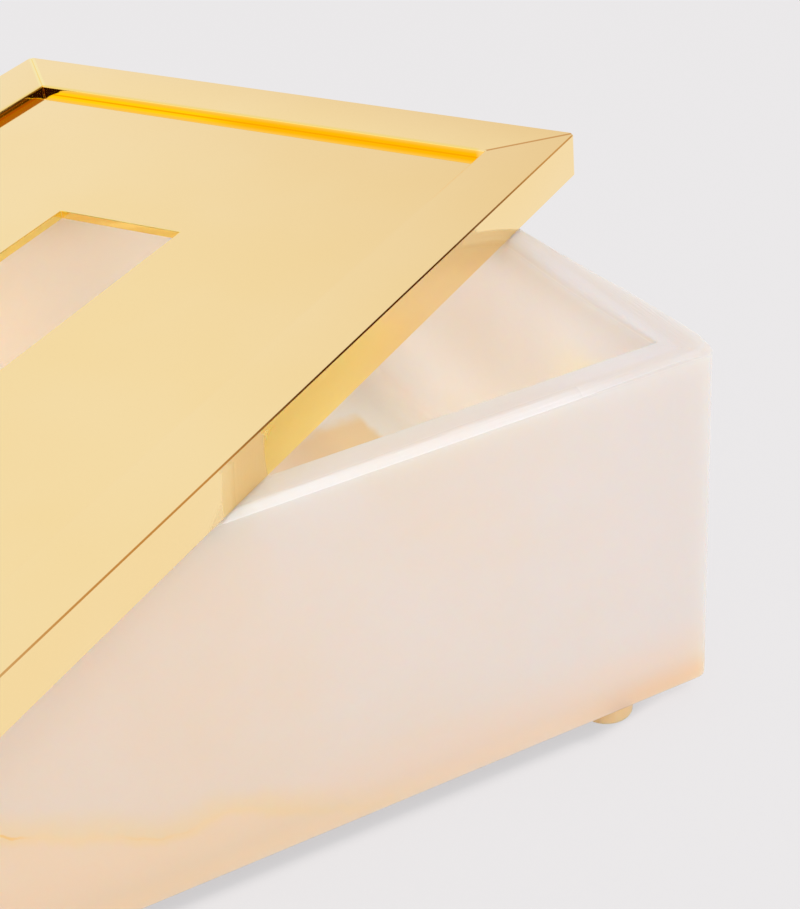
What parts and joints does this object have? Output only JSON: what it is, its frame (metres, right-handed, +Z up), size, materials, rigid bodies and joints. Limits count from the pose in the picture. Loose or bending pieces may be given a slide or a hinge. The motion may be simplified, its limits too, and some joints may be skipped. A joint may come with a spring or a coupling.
{
  "type": "lidded stone box",
  "caption": "Low rectangular stone box on small round feet, with a loose mitred metal lid that has a sunk plate and a long posting slot.",
  "frame": {"origin": "on the floor, under the middle of the box and of the lid", "axes": "+X along the length of the box to its right end, +Y to its back, +Z up; the lid lies turned 34 degrees about +Z"},
  "size_m": [0.3616, 0.3284, 0.1135],
  "materials": {
    "onyx": "polished",
    "gold": "polished",
    "bumper": "satin"
  },
  "bodies": {
    "box": {"front_wall": "onyx", "back_wall": "onyx", "left_wall": "onyx", "right_wall": "onyx", "base_slab": "onyx", "foot_front_left": "bumper", "foot_front_right": "bumper", "foot_back_left": "bumper", "foot_back_right": "bumper"},
    "lid": {"lid_front_bar": "gold", "lid_back_bar": "gold", "lid_left_bar": "gold", "lid_right_bar": "gold", "slotted_plate": "gold"}
  },
  "joints": [
    {"name": "lid_lift", "type": "slide", "parent": "box", "child": "lid", "axis": [0, 0, 1], "range_m": [0, 0.12]}
  ]
}
